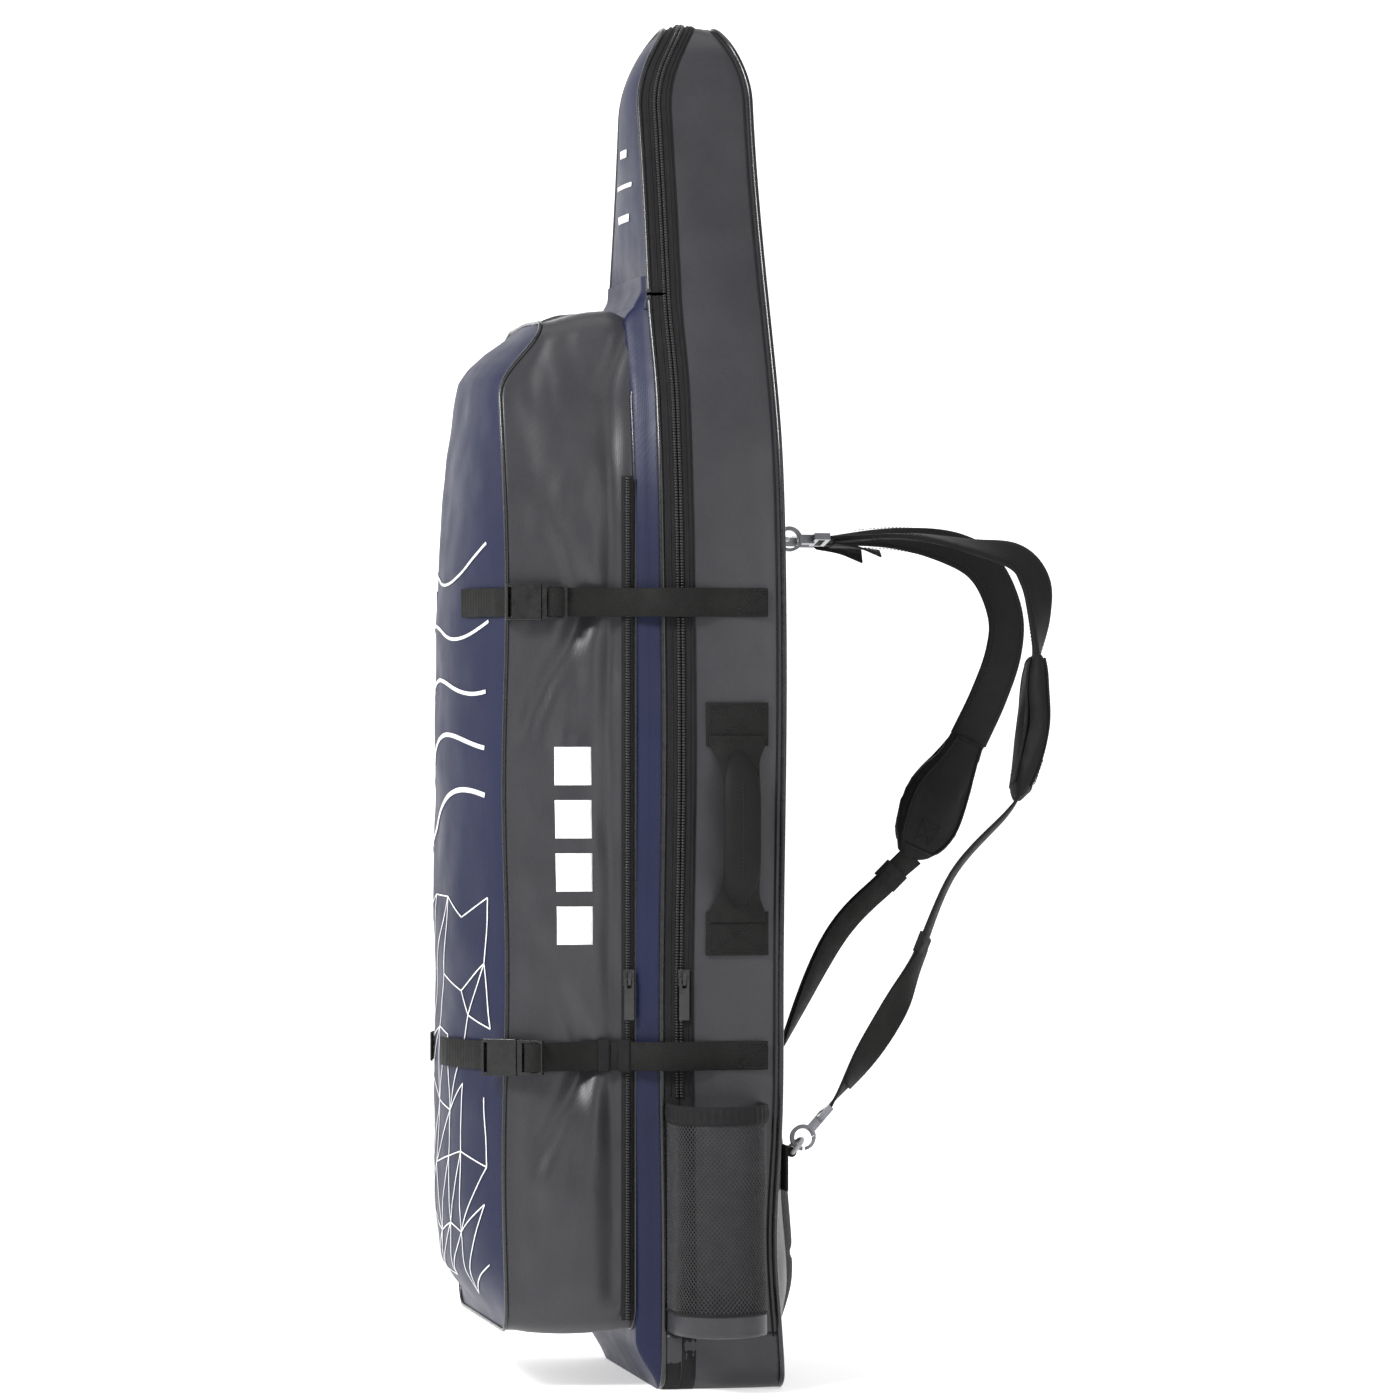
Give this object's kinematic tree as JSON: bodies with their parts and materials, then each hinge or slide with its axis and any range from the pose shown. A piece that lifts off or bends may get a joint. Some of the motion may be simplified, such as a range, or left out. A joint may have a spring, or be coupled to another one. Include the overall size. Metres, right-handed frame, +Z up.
{
  "type": "long-fin backpack",
  "caption": "Tall tapering backpack for long diving fins, with a deep front pocket, compression straps, side handle, mesh bottle pocket and hooked shoulder straps.",
  "frame": {"origin": "middle of the main compartment's base, where it stands", "axes": "+Z up the bag, -Y to the front pocket, +Y to the shoulder straps, +X to the side with the handle and bottle pocket"},
  "size_m": [0.403, 0.5391, 1.2003],
  "materials": {
    "tarpaulin": "satin",
    "navy_fabric": "satin",
    "foam": "matte",
    "piping": "satin",
    "zip_tape": "matte",
    "zip_metal": "satin",
    "webbing": "matte",
    "mesh": "matte",
    "pad_fabric": "matte",
    "buckle_plastic": "satin",
    "hook_plastic": "satin",
    "ring_plastic": "satin"
  },
  "bodies": {
    "bag": {"back_board": "foam", "back_panel": "tarpaulin", "base_panel": "tarpaulin", "bottle_pocket_band": "webbing", "bottle_pocket_base": "tarpaulin", "bottle_pocket_mesh": "mesh", "female_buckles_left": "buckle_plastic", "female_buckles_right": "buckle_plastic", "front_piping": "piping", "front_webbing_left": "webbing", "front_webbing_right": "webbing", "handle_patches": "webbing", "left_gusset": "tarpaulin", "lumbar_pad": "tarpaulin", "main_front_panel": "navy_fabric", "main_zip_coil": "zip_tape", "main_zip_tape": "zip_tape", "pocket_front_panel": "navy_fabric", "pocket_gusset_bottom": "tarpaulin", "pocket_gusset_left": "tarpaulin", "pocket_gusset_right": "tarpaulin", "pocket_gusset_top": "tarpaulin", "pocket_zip": "zip_tape", "rear_piping": "piping", "rear_webbing_left": "webbing", "rear_webbing_right": "webbing", "right_gusset": "tarpaulin", "ring_tabs_lower": "webbing", "ring_tabs_upper": "webbing", "top_gusset": "tarpaulin"},
    "front_flap": {"flap_panel": "navy_fabric", "flap_trim": "piping"},
    "main_zip_slider": {"main_zip_slider": "zip_metal"},
    "main_zip_puller": {"main_zip_puller": "zip_metal"},
    "pocket_zip_slider": {"pocket_zip_slider": "zip_metal"},
    "pocket_zip_puller": {"pocket_zip_puller": "zip_metal"},
    "male_buckle_upper_right": {"male_buckle_upper_right": "buckle_plastic"},
    "male_buckle_lower_right": {"male_buckle_lower_right": "buckle_plastic"},
    "male_buckle_upper_left": {"male_buckle_upper_left": "buckle_plastic"},
    "male_buckle_lower_left": {"male_buckle_lower_left": "buckle_plastic"},
    "carry_handle": {"handle_grip": "webbing"},
    "d_ring_upper_right": {"d_ring_upper_right": "ring_plastic"},
    "d_ring_lower_right": {"d_ring_lower_right": "ring_plastic"},
    "shoulder_strap_right": {"strap_hook_upper_right": "hook_plastic", "strap_hook_lower_right": "hook_plastic", "upper_strap_right": "webbing", "shoulder_pad_right": "pad_fabric", "lower_webbing_right": "webbing"},
    "hook_gate_upper_right": {"hook_gate_upper_right": "hook_plastic"},
    "hook_gate_lower_right": {"hook_gate_lower_right": "hook_plastic"},
    "d_ring_upper_left": {"d_ring_upper_left": "ring_plastic"},
    "d_ring_lower_left": {"d_ring_lower_left": "ring_plastic"},
    "shoulder_strap_left": {"strap_hook_upper_left": "hook_plastic", "strap_hook_lower_left": "hook_plastic", "upper_strap_left": "webbing", "shoulder_pad_left": "pad_fabric", "lower_webbing_left": "webbing"},
    "hook_gate_upper_left": {"hook_gate_upper_left": "hook_plastic"},
    "hook_gate_lower_left": {"hook_gate_lower_left": "hook_plastic"}
  },
  "joints": [
    {"name": "front_flap_open", "type": "hinge", "parent": "bag", "child": "front_flap", "pos_m": [0, -0.057, 0.956], "axis": [1, 0, 0], "range_deg": [0, 80]},
    {"name": "main_zip_slide", "type": "slide", "parent": "bag", "child": "main_zip_slider", "axis": [0, 0, 1], "range_m": [0, 0.42]},
    {"name": "main_zip_puller_lift", "type": "hinge", "parent": "main_zip_slider", "child": "main_zip_puller", "pos_m": [0.1633, -0.0355, 0.358], "axis": [0, -1, 0], "range_deg": [0, 150]},
    {"name": "pocket_zip_slide", "type": "slide", "parent": "bag", "child": "pocket_zip_slider", "axis": [0, 0, 1], "range_m": [0, 0.29]},
    {"name": "pocket_zip_puller_lift", "type": "hinge", "parent": "pocket_zip_slider", "child": "pocket_zip_puller", "pos_m": [0.1533, -0.0822, 0.358], "axis": [0, -1, 0], "range_deg": [0, 150]},
    {"name": "buckle_release_upper_right", "type": "slide", "parent": "bag", "child": "male_buckle_upper_right", "axis": [0, 1, 0], "range_m": [0, 0.023]},
    {"name": "buckle_release_lower_right", "type": "slide", "parent": "bag", "child": "male_buckle_lower_right", "axis": [0.4226, 0.9063, 0], "range_m": [0, 0.023]},
    {"name": "buckle_release_upper_left", "type": "slide", "parent": "bag", "child": "male_buckle_upper_left", "axis": [0, 1, 0], "range_m": [0, 0.023]},
    {"name": "buckle_release_lower_left", "type": "slide", "parent": "bag", "child": "male_buckle_lower_left", "axis": [-0.4226, 0.9063, 0], "range_m": [0, 0.023]},
    {"name": "carry_handle_swing", "type": "hinge", "parent": "bag", "child": "carry_handle", "pos_m": [0.1598, 0.012, 0.488], "axis": [0, 0, 1], "range_deg": [-45, 45], "stiffness_Nm_per_rad": 0.15},
    {"name": "ring_tilt_upper_right", "type": "hinge", "parent": "bag", "child": "d_ring_upper_right", "pos_m": [0.04, 0.064, 0.743], "axis": [1, 0, 0], "range_deg": [-4, 4]},
    {"name": "ring_tilt_lower_right", "type": "hinge", "parent": "bag", "child": "d_ring_lower_right", "pos_m": [0.13, 0.064, 0.205], "axis": [1, 0, 0], "range_deg": [-4, 4]},
    {"name": "strap_swing_right", "type": "hinge", "parent": "bag", "child": "shoulder_strap_right", "pos_m": [0.04, 0.079, 0.743], "axis": [-0.1682, 0.0082, 0.9857], "range_deg": [-34, 6]},
    {"name": "gate_upper_right", "type": "hinge", "parent": "shoulder_strap_right", "child": "hook_gate_upper_right", "pos_m": [0.04127, 0.08701, 0.73557], "axis": [-0.9857, 0, -0.1682], "range_deg": [0, 14], "stiffness_Nm_per_rad": 0.05, "springref_deg": -11.46},
    {"name": "gate_lower_right", "type": "hinge", "parent": "shoulder_strap_right", "child": "hook_gate_lower_right", "pos_m": [0.12985, 0.08556, 0.2165], "axis": [-0.9857, 0, -0.1682], "range_deg": [0, 14], "stiffness_Nm_per_rad": 0.05, "springref_deg": -11.46},
    {"name": "ring_tilt_upper_left", "type": "hinge", "parent": "bag", "child": "d_ring_upper_left", "pos_m": [-0.04, 0.064, 0.743], "axis": [1, 0, 0], "range_deg": [-4, 4]},
    {"name": "ring_tilt_lower_left", "type": "hinge", "parent": "bag", "child": "d_ring_lower_left", "pos_m": [-0.13, 0.064, 0.205], "axis": [1, 0, 0], "range_deg": [-4, 4]},
    {"name": "strap_swing_left", "type": "hinge", "parent": "bag", "child": "shoulder_strap_left", "pos_m": [-0.04, 0.079, 0.743], "axis": [0.1682, 0.0082, 0.9857], "range_deg": [-6, 34]},
    {"name": "gate_upper_left", "type": "hinge", "parent": "shoulder_strap_left", "child": "hook_gate_upper_left", "pos_m": [-0.04127, 0.08701, 0.73557], "axis": [-0.9857, 0, 0.1682], "range_deg": [0, 14], "stiffness_Nm_per_rad": 0.05, "springref_deg": -11.46},
    {"name": "gate_lower_left", "type": "hinge", "parent": "shoulder_strap_left", "child": "hook_gate_lower_left", "pos_m": [-0.12917, 0.08443, 0.22048], "axis": [-0.9857, 0, 0.1682], "range_deg": [0, 14], "stiffness_Nm_per_rad": 0.05, "springref_deg": -11.46}
  ]
}
